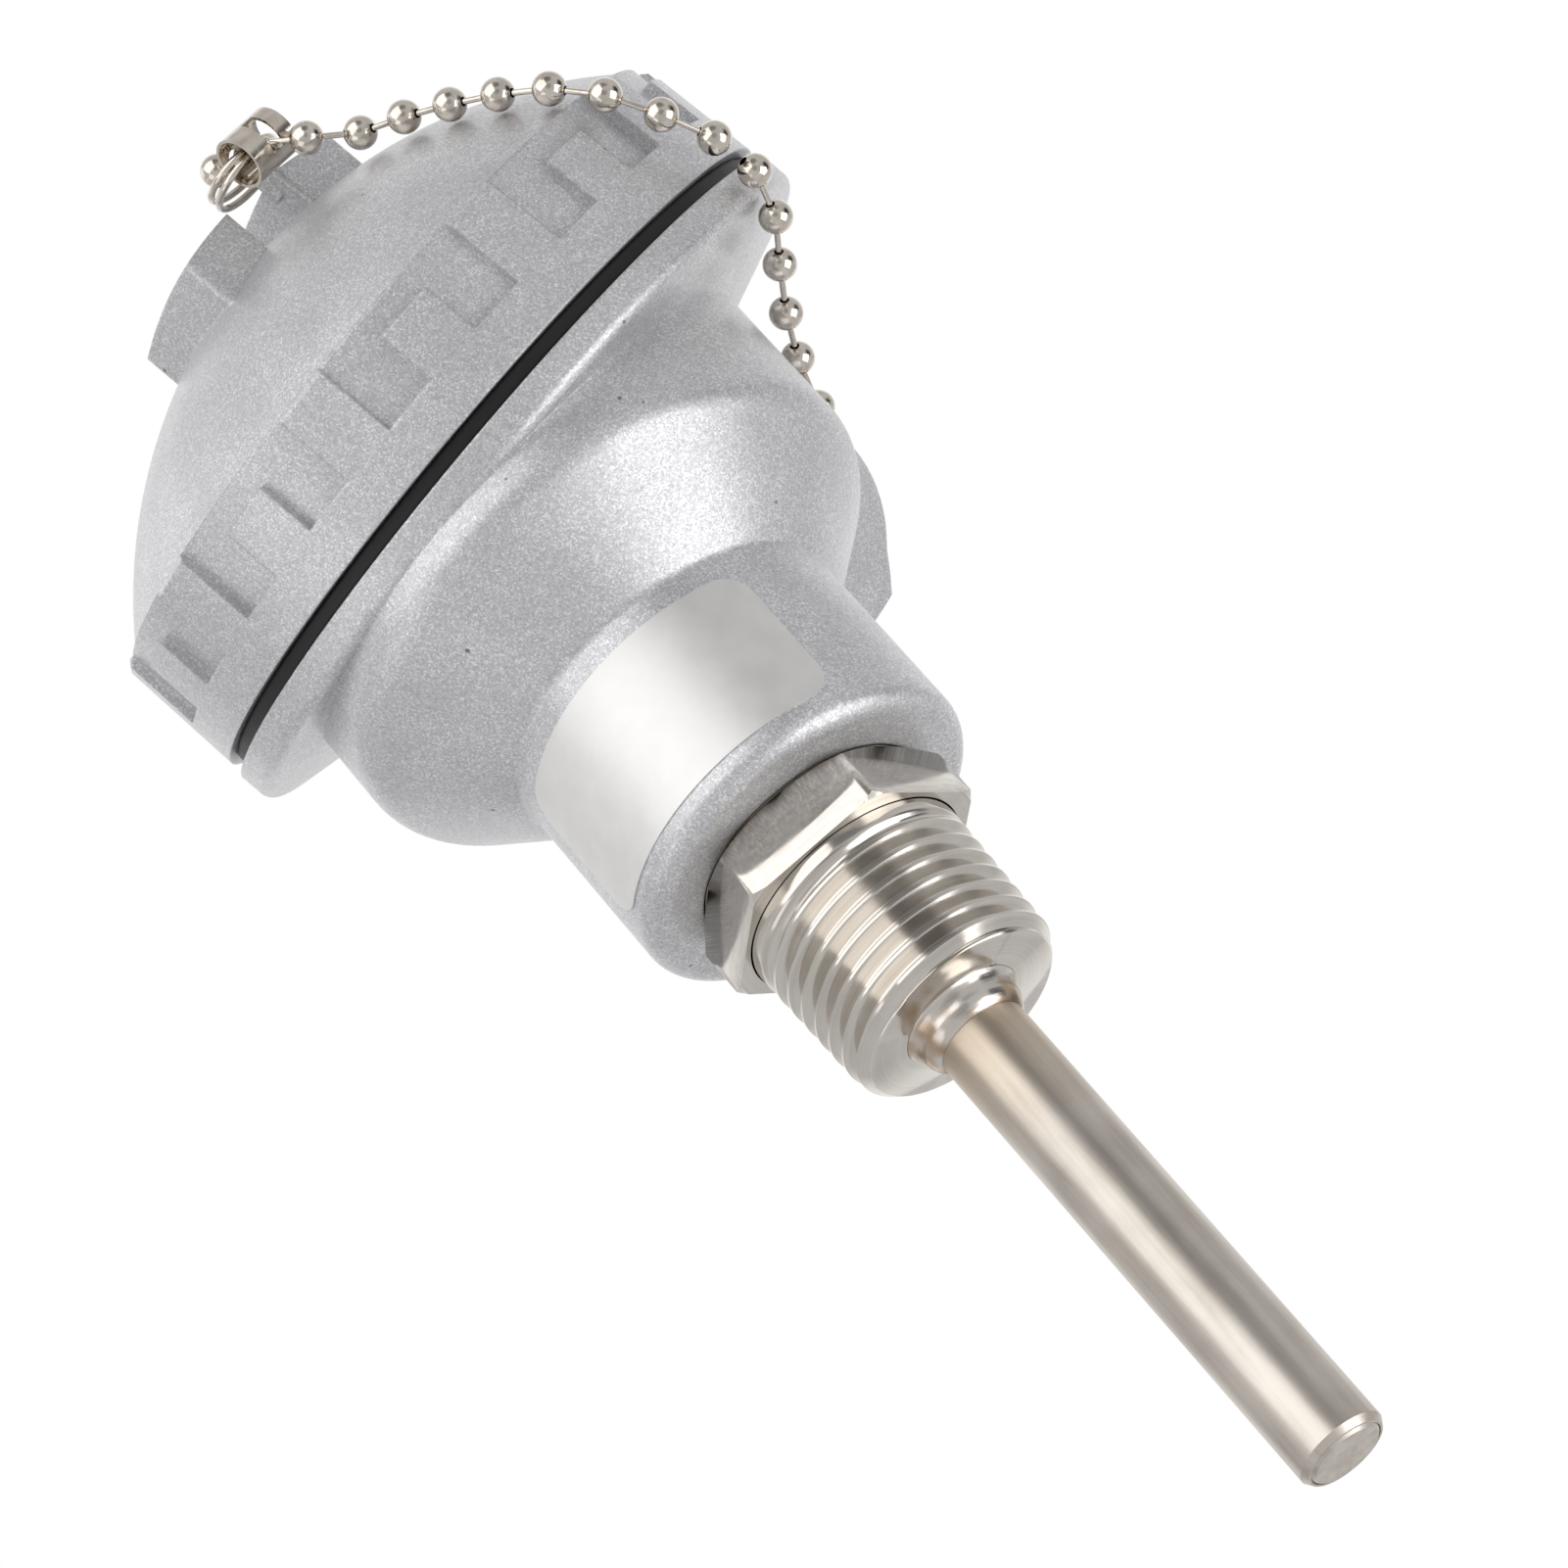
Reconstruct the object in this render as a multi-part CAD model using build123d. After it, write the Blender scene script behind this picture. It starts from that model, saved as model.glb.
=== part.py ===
from build123d import *
import math
import os

# Resistance thermometer probe with a cast connection head.
# The origin is on the probe axis, at the underside of the hexagon, with +Z up
# the axis towards the head. The cable entry points along +X, and the screw cap
# sits on an inclined plane that leans the other way, towards -X.

os.makedirs("parts", exist_ok=True)

# Probe tube and what is inside it
tube_radius = 4.0
tube_wall = 0.6
tube_step = 0.2                # turned off the tube where it enters the fitting
insertion_length = 50.0        # from the end of the thread to the tip
tube_tail = 1.5                # how far the tube stands above the shank
tip_bevel = 0.8
tip_plug_length = 2.5
plug_bevel = 0.35
weld_radius = 5.6
weld_height = 2.8
element_radius = 1.4
element_length = 12.0
element_tip_gap = 0.4
insulator_gap = 0.4
insulator_fit = 0.2
wire_radius = 0.5
wire_hole_radius = 0.7
wire_circle = 1.5
potting_length = 5.0
potting_fit = 0.02

# Process fitting: hexagon, taper thread and the shank that enters the head
hex_flats = 22.0
hex_height = 6.0
hex_turn = 18.9                # direction of a corner, from the cable entry
hex_chamfer_angle = 30.0
hex_chamfer_start = 0.96       # share of the half width across flats where the corners are turned off
cut_margin = 0.01              # a cutting tool reaches this far past what it cuts
thread_reach = 14.7            # hexagon underside to the end of the thread
thread_big_radius = 10.45
thread_taper = 1 / 32.0        # radius lost for each millimetre of length
thread_pitch = 1.814           # fourteen threads to the inch
thread_depth = 1.15
thread_crest_flat = 0.25
thread_runout = 2.7
thread_end_chamfer = 0.95
shank_radius = 10.9
shank_length = 14.0
shank_clearance = 0.15
fitting_bore_clearance = 0.05

# Head casting
neck_radius = 16.2
neck_length = 19.3
neck_edge_radius = 1.8
drum_radius = 25.6
cone_angle = 45.0
drum_edge_radius = 3.5
casting_wall = 3.2
cap_tilt = 28.25
cap_offset = 3.85              # centre of the cap plane, towards the cable entry
cap_height = 56.9              # centre of the cap plane, above the origin
seal_gap = 1.6                 # space left between the cap and the flange
flange_radius = 35.3
flange_rim = 2.9
flange_edge_radius = 1.1
flange_underside_angle = 15.0
flange_underside_reach = 15.0
collar_wall = 2.5
collar_height = 7.5
recess_depth = 2.4
entry_height = 53.7            # height of the cable entry's axis
entry_radius = 14.3
entry_reach = 41.5             # how far the boss stands from the probe axis
entry_bore_radius = 10.0
entry_throat_radius = 7.0
entry_thread_depth = 16.5
post_radius = 3.2
post_spacing = 28.0
post_hole_radius = 1.75
post_hole_depth = 8.0
entry_wall = entry_radius - entry_bore_radius
ear_thickness = 2.6
ear_radius = 3.4
ear_hole_radius = 1.3
ear_out = 8.1                  # from the side of the drum out to the ear's hole
ear_stand = 2.8                # from the cable boss down to the ear's hole

# Screw cap
band_setback = 0.35            # the band's foot stands this far inside the flange's rim
band_draft = 0.35              # radius lost up the band
band_height = 12.0
band_bevel = 0.5
band_wall = 3.6
dome_setback = 1.25            # from the top of the band in to the foot of the dome
dome_height = 27.3             # above the middle of the seal
dome_wall = 2.6
cap_thread_clearance = 0.35
pocket_count = 10
pocket_bar = 9.0               # degrees taken by each leg of a pocket
pocket_start = 153.3           # degrees from the cable entry side
pocket_depth = 0.85
pocket_floor = 5.0
pocket_shoulder = 10.4
lug_width = 7.6
lug_length = 13.6
lug_slot = 6.9
lug_turn = 56.0
lug_shift_x = -2.5
lug_shift_y = -0.5
lug_top = 30.9
lug_top_radius = 56.0
lug_top_shift = -4.3
lug_edge_radius = 0.7
lug_eye_radius = 1.9
lug_eye_hole_radius = 1.1
lug_eye_thickness = 1.8
lug_eye_inset_x = 2.8
lug_eye_inset_y = 1.45
lug_eye_stand = 1.15           # from the top of the lug to the eye's hole
cap_thread_pitch = 2.0

# Seal between the cap and the flange
seal_setback = 1.2             # from the flange's rim in to the seal
seal_edge_radius = 0.35
seal_relief = 0.05
seal_fit = 0.15

# Cable gland
nut_flats = 21.0
nut_height = 6.0
nut_gap = 0.4
nut_bore_radius = 4.5
thrust_bore_radius = 4.8
nut_shank_length = 8.5
gland_fit = 0.3
thrust_ring_thickness = 1.0
grommet_bore_radius = 4.2

# Terminal block
block_radius = 18.0
block_height = 9.0
block_seat = 37.0
post_foot = 4.3                # from the top of the fitting up to the foot of the posts
block_hole_radius = 4.0
block_screw_hole_radius = 2.2
terminal_angles = [180.0, 50.0, 310.0]
barrier_wall = 0.9             # low walls either side of each terminal
barrier_height = 1.8
terminal_circle = 11.5
terminal_size = 5.2
terminal_height = 3.2
terminal_wire_height = 1.4
terminal_floor = 2.1           # brass left under the screw
terminal_screw_radius = 1.3
terminal_head_radius = 2.3
terminal_head_height = 1.9
block_screw_radius = 1.7
block_screw_head_radius = 3.0
block_screw_head_height = 2.3
screw_slot_width = 0.7
screw_slot_depth = 0.8
screw_fit = 0.1
wire_bend_radius = 1.6
wire_entry = 1.6
wire_hole_depth = 2.4

# Foil label wrapped round the neck, left bare
label_thickness = 0.12
label_low = 8.6
label_high = 23.0
label_start = 129.0
label_end = 236.0
label_corner = 2.6

# Ball chain, its sleeves and its rings
bead_radius = 1.5
link_radius = 0.27
link_hole_radius = 0.42
link_hole_start = 0.3          # the holes stop this far from the middle of a bead
link_inset = 0.6
link_head_radius = 0.55
sleeve_radius = 2.45
sleeve_wall = 0.28
sleeve_length = 5.1
sleeve_slot = (125.0, 101.0)   # where the sleeve's slot starts round it, and how far it goes
sleeve_slot_low = -0.45
sleeve_slot_high = 1.0
sleeve_window_radius = 0.7
ring_radius = 3.75
ring_wire = 0.33
ring_turn_pitch = 0.58
ring_spread = 1.6              # degrees that each turn is sprung open
ring_lean = 7.0                # degrees that the cap's ring leans
ring_slack = 0.4               # the sleeve lies this far in from the wire
# The cap's sleeve, the bead at its mouth and the first bead of the chain, from the middle of the ring
cap_sleeve_offset = (-2.46, -2.98, 0.06)
cap_sleeve_axis = (0.75, -0.656, -0.02)
end_bead_offset = (-0.3, 1.47, 1.97)
first_bead_offset = (-3.6, -6.73, -3.0)
# Heads of the links in the sleeve, in its own frame: inward, up and along its axis
chain_head = (-1.1, -0.45, 0.2)
end_head = (1.2, 0.9, -0.9)
# Places that the chain passes over the dome: direction round the cap, lean from its
# axis and gap under the bead
dome_route = [
    (250.0, 20.6, 0.93), (249.3, 26.4, 0.4), (248.4, 32.7, 0.15), (248.0, 39.3, 0.15), (248.1, 45.5, 0.2)
]
# Beside the band and the flange: direction, distance out from the flange's rim and height
band_route = [(248.9, 1.36, 10.4), (250.3, 2.72, 5.9), (253.5, 2.98, 1.7)]
flange_route = [(257.1, 1.9, -2.4), (261.4, -1.3, -6.0)]
# Round the drum: direction from the cable entry, gap and drop from the middle of the cap plane
drum_route = [(-78.9, 3.67, 8.4), (-70.0, 1.3, 9.5), (-59.6, 0.3, 10.55)]
# Under the cable boss: direction, gap and drop from the axis of the cable entry
boss_route = [(-47.0, 0.5, 10.1), (-34.0, 0.55, 13.0), (-21.0, 0.65, 15.85)]
cap_bead_count = 9
body_bead_count = 10
body_ring_way = (-0.62, -0.3, -0.72)
# The body's last bead and the head of its link, in the sleeve's frame: out along the ring,
# across it and along the sleeve
last_bead = (-1.0, 4.15, -2.4)
last_head = (-0.75, 0.6, -0.5)

tip_z = -thread_reach - insertion_length
fitting_top = hex_height + shank_length
neck_top = hex_height + neck_length
drum_bottom = neck_top + (drum_radius - neck_radius) / math.tan(math.radians(cone_angle))
tube_bore = tube_radius - tube_wall
tube_neck = tube_radius - tube_step
tube_shoulder = -thread_reach - weld_height
tube_top = fitting_top + tube_tail
block_top = block_seat + block_height
band_radius = flange_radius - band_setback
band_top_radius = band_radius - band_draft
collar_radius = band_radius - band_wall - cap_thread_clearance
seal_radius = flange_radius - seal_setback
cap_plane = Plane(
    origin=(cap_offset, 0, cap_height),
    x_dir=(math.cos(math.radians(cap_tilt)), 0, math.sin(math.radians(cap_tilt))),
    z_dir=(-math.sin(math.radians(cap_tilt)), 0, math.cos(math.radians(cap_tilt))),
)
entry_plane = Plane(origin=(0, 0, entry_height), x_dir=(0, 1, 0), z_dir=(1, 0, 0))
flange_top = -seal_gap / 2
cap_bottom = seal_gap / 2
shoulder = cap_bottom + band_height
dome_rise = dome_height - shoulder
dome_foot = band_top_radius - dome_setback
dome_sphere_radius = (dome_foot**2 + dome_rise**2) / (2 * dome_rise)
sphere_centre = dome_height - dome_sphere_radius
ear_x = drum_radius + ear_out
ear_z = entry_height - entry_radius - ear_stand


def save(shape, node):
    # one STEP file for each node, holding one solid or a group of them
    solids = shape.solids()
    export_step(solids[0] if len(solids) == 1 else Compound(children=list(solids)), f"parts/{node}.step")


def turned(points, rounds=None):
    # a solid turned about Z from (radius, height) points; rounds maps a point's number to a radius
    profile = make_face(Plane.XZ * Polyline(*points, close=True))
    for number, radius in (rounds or {}).items():
        corner = Vector(points[number][0], 0, points[number][1])
        vertex = min(profile.vertices(), key=lambda v: (Vector(v.X, v.Y, v.Z) - corner).length)
        profile = fillet(vertex, radius)
    return revolve(profile, Axis.Z)


def rod(radius, low, high):
    # a cylinder on Z between two heights
    return Pos(0, 0, (low + high) / 2) * Cylinder(radius, high - low)


def rod_between(start, end, radius):
    # a straight round rod from one point to another
    start = Vector(*start)
    end = Vector(*end)
    plane = Plane(origin=start, z_dir=end - start)
    return plane * rod(radius, 0, (end - start).length)


def hexagon(flats, low, high):
    # a hexagon bar on Z, its corners turned off at the lower end and at the upper end
    corner = flats / math.sqrt(3)
    inner = flats / 2 * hex_chamfer_start
    edge = corner + cut_margin
    bar = Pos(0, 0, low) * extrude(RegularPolygon(flats / 2, 6, major_radius=False), high - low)
    drop = (corner - inner) * math.tan(math.radians(hex_chamfer_angle))
    limit = turned([(0, low), (inner, low), (edge, low + drop), (edge, high), (0, high)])
    return bar & limit


def ring_sector(inner, outer, low, high, start, sweep):
    # part of a ring about Z, from the angle start and sweep degrees wide
    corners = [(inner, low), (outer, low), (outer, high), (inner, high)]
    section = make_face(Plane.XZ * Polyline(*corners, close=True))
    return Rot(0, 0, start) * revolve(section, Axis.Z, revolution_arc=sweep)


def make_tube():
    wall = turned(
        [(tube_bore, tip_z + tip_plug_length), (tube_bore, tube_top), (tube_neck, tube_top),
         (tube_neck, tube_shoulder), (tube_radius, tube_shoulder), (tube_radius, tip_z + tip_bevel),
         (tube_radius - tip_bevel / 2, tip_z + tip_bevel / 4), (tube_bore, tip_z + tip_bevel / 4)]
    )
    return wall


def make_tip_plug():
    return turned(
        [(0, tip_z), (tube_bore - plug_bevel, tip_z), (tube_bore, tip_z + plug_bevel),
         (tube_bore, tip_z + tip_plug_length), (0, tip_z + tip_plug_length)]
    )


def make_weld():
    # the concave bead of weld where the tube leaves the end of the thread
    top = -thread_reach
    half = (weld_radius - tube_radius) / 2
    edge = Plane.XZ * (
        Polyline((tube_radius, tube_shoulder), (tube_neck, tube_shoulder), (tube_neck, top),
                 (weld_radius, top),
                 (weld_radius, top - weld_height * 0.28))
        + ThreePointArc((weld_radius, top - weld_height * 0.28),
                        (tube_radius + half * 0.95, top - weld_height * 0.6),
                        (tube_radius, tube_shoulder))
    )
    return revolve(make_face(edge), Axis.Z)


def thread_radius(z):
    # outer radius of the taper thread at a height below the hexagon
    return thread_big_radius + thread_taper * z


def make_fitting():
    # thread grooves as a tapered saw profile between the run-out and the end
    bore = tube_neck + fitting_bore_clearance
    outline = [(bore, -thread_reach), (thread_radius(-thread_reach) - thread_end_chamfer, -thread_reach)]
    z = -thread_reach + thread_end_chamfer * 0.8
    while z + thread_pitch < -thread_runout + 0.3:
        outline.append((thread_radius(z) - thread_crest_flat / 4, z))
        outline.append((thread_radius(z), z + thread_crest_flat))
        outline.append((thread_radius(z) - thread_depth, z + (thread_pitch + thread_crest_flat) / 2))
        z += thread_pitch
    outline.append((thread_radius(z), z))
    outline.append((thread_big_radius, 0))
    outline.append((bore, 0))
    threaded = turned(outline)
    shank = rod(shank_radius, hex_height, fitting_top) - rod(bore, hex_height, fitting_top)
    nut = Rot(0, 0, hex_turn) * (hexagon(hex_flats, 0, hex_height) - rod(bore, 0, hex_height))
    return threaded + nut + shank


def make_housing():
    # outside of the casting: neck, cone and drum, cut off by the inclined cap plane
    far = 4 * (drum_radius + entry_reach)
    outer = turned(
        [(0, hex_height), (neck_radius, hex_height), (neck_radius, neck_top), (drum_radius, drum_bottom),
         (drum_radius, cap_height + drum_radius), (0, cap_height + drum_radius)],
        {1: neck_edge_radius, 2: 1.0, 3: drum_edge_radius},
    )
    outer += entry_plane * rod(entry_radius, drum_radius / 2, entry_reach)
    outer -= cap_plane * Pos(0, 0, cap_height + flange_top) * Box(far, far, 2 * cap_height)
    lower = flange_top - flange_rim
    slope = math.tan(math.radians(flange_underside_angle)) * flange_underside_reach
    flange = turned(
        [(0, flange_top), (flange_radius, flange_top), (flange_radius, lower),
         (flange_radius - flange_underside_reach, lower - slope), (0, lower - slope)],
        {2: flange_edge_radius},
    )
    collar = rod(collar_radius, flange_top - 0.5, flange_top + collar_height)
    outer += cap_plane * flange
    outer += cap_plane * collar

    # chamber inside, an even wall in from the cone and the drum
    step = casting_wall / math.cos(math.radians(cone_angle))
    chamber_radius = drum_radius - casting_wall
    bore = shank_radius + shank_clearance
    bore_top = neck_top + bore - neck_radius + step
    chamber = turned(
        [(0, hex_height), (bore, hex_height), (bore, bore_top),
         (chamber_radius, bore_top + chamber_radius - bore), (chamber_radius, 2 * cap_height),
         (0, 2 * cap_height)]
    )
    chamber -= cap_plane * Pos(0, 0, cap_height + flange_top - recess_depth) * Box(far, far, 2 * cap_height)
    for side in (-1, 1):
        chamber -= Pos(0, side * post_spacing / 2, 0) * rod(post_radius, fitting_top + post_foot, block_seat)
    outer -= chamber
    outer -= cap_plane * rod(collar_radius - collar_wall, flange_top - recess_depth, collar_height + 1)
    for side in (-1, 1):
        hole = rod(post_hole_radius, block_seat - post_hole_depth, block_seat)
        outer -= Pos(0, side * post_spacing / 2, 0) * hole
    outer -= entry_plane * rod(entry_throat_radius, drum_radius / 2, entry_reach)
    outer -= entry_plane * rod(entry_bore_radius, entry_reach - entry_thread_depth, entry_reach)

    # ear for the chain, cast under the cable boss in the plane where the moulds part
    ear = Pos(ear_x, 0, ear_z) * Rot(90, 0, 0) * Cylinder(ear_radius, ear_thickness)
    web = ear_stand + entry_wall / 2
    ear += Pos(ear_x, 0, ear_z + web / 2) * Box(2 * ear_radius, ear_thickness, web)
    ear -= Pos(ear_x, 0, ear_z) * Rot(90, 0, 0) * Cylinder(ear_hole_radius, 2 * ear_thickness)
    outer += ear
    return outer


def lug_plane():
    # middle of the two lugs, x along their length and y across the slot
    return Plane(
        origin=(lug_shift_x, lug_shift_y, 0),
        x_dir=(math.cos(math.radians(lug_turn)), math.sin(math.radians(lug_turn)), 0),
        z_dir=(0, 0, 1),
    )


def make_cap():
    # band and dome in the cap's own frame
    outline = Polyline(
        (0, cap_bottom), (band_radius, cap_bottom), (band_top_radius, shoulder - band_bevel),
        (band_top_radius - band_bevel, shoulder), (dome_foot, shoulder)
    )
    outline += RadiusArc((dome_foot, shoulder), (0, dome_height), -dome_sphere_radius)
    outline += Line((0, dome_height), (0, cap_bottom))
    shell = revolve(make_face(Plane.XZ * outline), Axis.Z)

    # two parallel lugs with a turned top, for a tightening bar
    lugs = Part()
    for side in (-1, 1):
        block = Pos(0, side * (lug_slot + lug_width) / 2, (shoulder + lug_top) / 2) * Box(
            lug_length, lug_width, lug_top - shoulder
        )
        block = fillet(block.edges().filter_by(Axis.Z), lug_edge_radius)
        lugs += block
    crown = Pos(lug_top_shift, 0, lug_top - lug_top_radius) * Sphere(lug_top_radius)
    lugs = lug_plane() * (lugs & crown)

    # eye for the chain's ring, cast on one corner of the far lug
    eye = Pos(*lug_eye()) * Rot(90, 0, 0) * Cylinder(lug_eye_radius, lug_eye_thickness)
    foot = lug_eye_stand + lug_eye_radius
    eye += Pos(*lug_eye()) * Pos(0, 0, -foot / 2) * Box(2 * lug_eye_radius, lug_eye_thickness, foot)
    eye -= Pos(*lug_eye()) * Rot(90, 0, 0) * Cylinder(lug_eye_hole_radius, 2 * lug_eye_thickness)
    shell += lugs + eye

    # pockets in the band: a bridge at the top and a leg at each end
    floor_radius = band_top_radius - pocket_depth
    reach = band_radius + 1
    top = shoulder + 0.4
    for number in range(pocket_count):
        start = pocket_start + number * 360 / pocket_count
        shell -= ring_sector(floor_radius, reach, pocket_shoulder, top, start, 3 * pocket_bar)
        for leg in (0, 2):
            shell -= ring_sector(floor_radius, reach, pocket_floor, pocket_shoulder,
                                 start + leg * pocket_bar, pocket_bar)

    # inside: the threaded bore and the hollow of the dome
    bore = collar_radius + cap_thread_clearance
    hollow = Pos(0, 0, sphere_centre) * Sphere(dome_sphere_radius - dome_wall)
    shell -= hollow & rod(bore, cap_bottom, dome_height)
    return cap_plane * shell


def lug_eye():
    # middle of the hole in the eye on the far lug, in the cap's frame
    corner = Vector(lug_eye_inset_x - lug_length / 2, -lug_eye_inset_y - lug_slot / 2,
                    lug_top + lug_eye_stand)
    return lug_plane().from_local_coords(corner)


def make_seal():
    outer = seal_radius
    half = seal_gap / 2 - seal_relief
    ring = turned(
        [(collar_radius + seal_fit, -half), (outer, -half), (outer, half), (collar_radius + seal_fit, half)],
        {1: seal_edge_radius, 2: seal_edge_radius},
    )
    return cap_plane * ring


def make_gland():
    # nut with its shank, thrust ring and rubber grommet, along the cable entry's axis
    radius = entry_bore_radius - gland_fit
    face = entry_reach + nut_gap
    nut = hexagon(nut_flats, 0, nut_height)
    nut = Pos(0, 0, face + nut_height) * Rot(180, 0, 0) * nut
    nut += rod(radius, face - nut_shank_length, face)
    nut -= rod(nut_bore_radius, face - nut_shank_length, face + nut_height)
    ring_top = face - nut_shank_length - seal_relief
    thrust = rod(radius, ring_top - thrust_ring_thickness, ring_top)
    thrust -= rod(thrust_bore_radius, ring_top - thrust_ring_thickness, ring_top)
    floor = entry_reach - entry_thread_depth
    grommet_top = ring_top - thrust_ring_thickness - seal_relief
    grommet = rod(radius, floor, grommet_top) - rod(grommet_bore_radius, floor, grommet_top)
    return entry_plane * nut, entry_plane * thrust, entry_plane * grommet


def make_block():
    block = rod(block_radius, block_seat, block_top)
    block = fillet(block.edges().filter_by(GeomType.CIRCLE), 0.8)
    block -= rod(block_hole_radius, block_seat, block_top)
    for side in (-1, 1):
        block -= Pos(0, side * post_spacing / 2, 0) * rod(block_screw_hole_radius, block_seat, block_top)
    for angle in terminal_angles:
        # low walls either side of each terminal
        for side in (-1, 1):
            wall = Box(terminal_size, barrier_wall, barrier_height)
            across = side * (terminal_size / 2 + barrier_wall)
            block += Rot(0, 0, angle) * Pos(terminal_circle, across, block_top + barrier_height / 2) * wall
    return block


def slotted_screw(head_radius, head_height, shank_radius, shank_length):
    # a cheese-head screw whose seat is at Z 0
    screw = rod(head_radius, 0, head_height) + rod(shank_radius, -shank_length, 0)
    slot = Box(3 * head_radius, screw_slot_width, screw_slot_depth)
    slot = Pos(0, 0, head_height - screw_slot_depth / 2) * slot
    return screw - slot


def make_terminals():
    clamps = []
    screws = []
    wires = []
    top = block_top + terminal_height
    for angle in terminal_angles:
        clamp = Box(terminal_size, terminal_size, terminal_height)
        clamp = Pos(terminal_circle, 0, block_top + terminal_height / 2) * clamp
        hole = rod(terminal_screw_radius + screw_fit, block_top + terminal_floor, top)
        clamp -= Pos(terminal_circle, 0, 0) * hole
        wire_z = block_top + terminal_wire_height
        inner_face = terminal_circle - terminal_size / 2
        clamp -= rod_between((inner_face - wire_hole_radius, 0, wire_z),
                             (inner_face + wire_hole_depth, 0, wire_z), wire_hole_radius)
        clamps.append(Rot(0, 0, angle) * clamp)
        screw = slotted_screw(terminal_head_radius, terminal_head_height, terminal_screw_radius,
                              terminal_height - terminal_floor - screw_fit)
        screws.append(Rot(0, 0, angle) * Pos(terminal_circle, 0, top) * screw)
        low = tip_z + tip_plug_length + element_tip_gap + element_length
        path = Plane.XZ * FilletPolyline(
            (wire_circle, low), (wire_circle, wire_z), (inner_face + wire_entry, wire_z),
            radius=wire_bend_radius
        )
        section = Plane(origin=(wire_circle, 0, low)) * Circle(wire_radius)
        wires.append(Rot(0, 0, angle) * sweep(section, path))
    return clamps, screws, wires


def make_insulator():
    low = tip_z + tip_plug_length + element_tip_gap + element_length + insulator_gap
    high = tube_top - potting_length
    body = rod(tube_bore - insulator_fit, low, high)
    for angle in terminal_angles:
        body -= Rot(0, 0, angle) * Pos(wire_circle, 0, 0) * rod(wire_hole_radius, low, high)
    return body


def make_potting():
    body = rod(tube_bore - potting_fit, tube_top - potting_length, tube_top)
    for angle in terminal_angles:
        hole = rod(wire_radius + potting_fit, tube_top - potting_length, tube_top)
        body -= Rot(0, 0, angle) * Pos(wire_circle, 0, 0) * hole
    return body


def make_label():
    # a rounded oblong wrapped round the neck
    sheet = ring_sector(neck_radius, neck_radius + label_thickness, label_low, label_high,
                        label_start, label_end - label_start)
    inset = math.degrees(label_corner / neck_radius)
    for angle, across in ((label_start + inset, -1), (label_end - inset, 1)):
        for z, up in ((label_low + label_corner, -1), (label_high - label_corner, 1)):
            plane = Plane(origin=(0, 0, z), x_dir=(0, 0, up), z_dir=(1, 0, 0))
            side = plane.y_dir.Y * across
            deep = label_corner + neck_radius / 4
            square = Box(2 * label_corner, 2 * label_corner, deep)
            square = Pos(label_corner, side * label_corner, neck_radius) * square
            cutter = square - Pos(0, 0, neck_radius) * Cylinder(label_corner, 2 * deep)
            sheet -= Rot(0, 0, angle) * (plane * cutter)
    return sheet


def around(direction, radius, height):
    # a point about Z from its direction in degrees, its distance and its height
    angle = math.radians(direction)
    return Vector(radius * math.cos(angle), radius * math.sin(angle), height)


def beads_along(route, count):
    # centres of the beads, spaced evenly along a smooth line through the route
    line = Spline(*route)
    return [line.position_at(number / (count - 1)) for number in range(count)]


def make_bead(centre, ways):
    # a bead with a hole towards each neighbour, turned so that its poles lie clear of the holes
    side = ways[0] - ways[-1] if len(ways) > 1 else ways[0]
    pole = side.cross(Vector(0.3, 0.5, 0.8))
    bead = Plane(origin=centre, x_dir=side.cross(pole), z_dir=pole) * Sphere(bead_radius)
    for way in ways:
        bead -= rod_between(centre + way * link_hole_start, centre + way * 2 * bead_radius, link_hole_radius)
    return bead


def make_link(start, end, headed):
    # a link between two beads, or from a bead to a round head at start, turned in one piece
    way = (end - start).normalized()
    if not headed:
        return rod_between(start + way * link_inset, end - way * link_inset, link_radius)
    neck = math.sqrt(link_head_radius**2 - link_radius**2)
    length = (end - start).length - link_inset
    outline = ThreePointArc((0, -link_head_radius), (link_head_radius, 0), (link_radius, neck))
    outline += Polyline((link_radius, neck), (link_radius, length), (0, length), (0, -link_head_radius))
    return Plane(origin=start, z_dir=way) * revolve(make_face(Plane.XZ * outline), Axis.Z)


def make_chain(centres, before=None, after=None, first_head=None, last_head=None):
    # beads at the given centres and the links between them; before and after are the next
    # beads of the other half of the chain, and a link runs from an end bead to a head
    beads = []
    links = []
    ends = [first_head or before] + centres + [last_head or after]
    for number, centre in enumerate(centres):
        others = [other for other in (ends[number], ends[number + 2]) if other is not None]
        beads.append(make_bead(centre, [(other - centre).normalized() for other in others]))
    for start, end in zip(centres, centres[1:]):
        links.append(make_link(start, end, False))
    if first_head is not None:
        links.append(make_link(first_head, centres[0], True))
    if last_head is not None:
        links.append(make_link(last_head, centres[-1], True))
    return beads, links


def make_sleeve():
    # a curled sheet sleeve along Z
    edge = sleeve_length / 2
    return rod(sleeve_radius, -edge, edge) - rod(sleeve_radius - sleeve_wall, -edge, edge)


def sleeve_opening(head, bead):
    # round hole in a sleeve for the link between a head inside it and a bead
    return rod_between(head, bead, sleeve_window_radius)


def make_ring(centre, normal, hinge):
    # a split ring: two turns that lie together on the side towards hinge and stand open on the other
    hinge = (hinge - normal * normal.dot(hinge)).normalized()
    plane = Plane(origin=centre, x_dir=hinge, z_dir=normal)
    turns = Part()
    for side in (-1, 1):
        turn = Pos(-ring_radius, 0, 0) * Torus(ring_radius, ring_wire)
        turns += Pos(ring_radius, 0, side * ring_turn_pitch / 2) * Rot(0, side * ring_spread, 0) * turn
    return plane * turns


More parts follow.
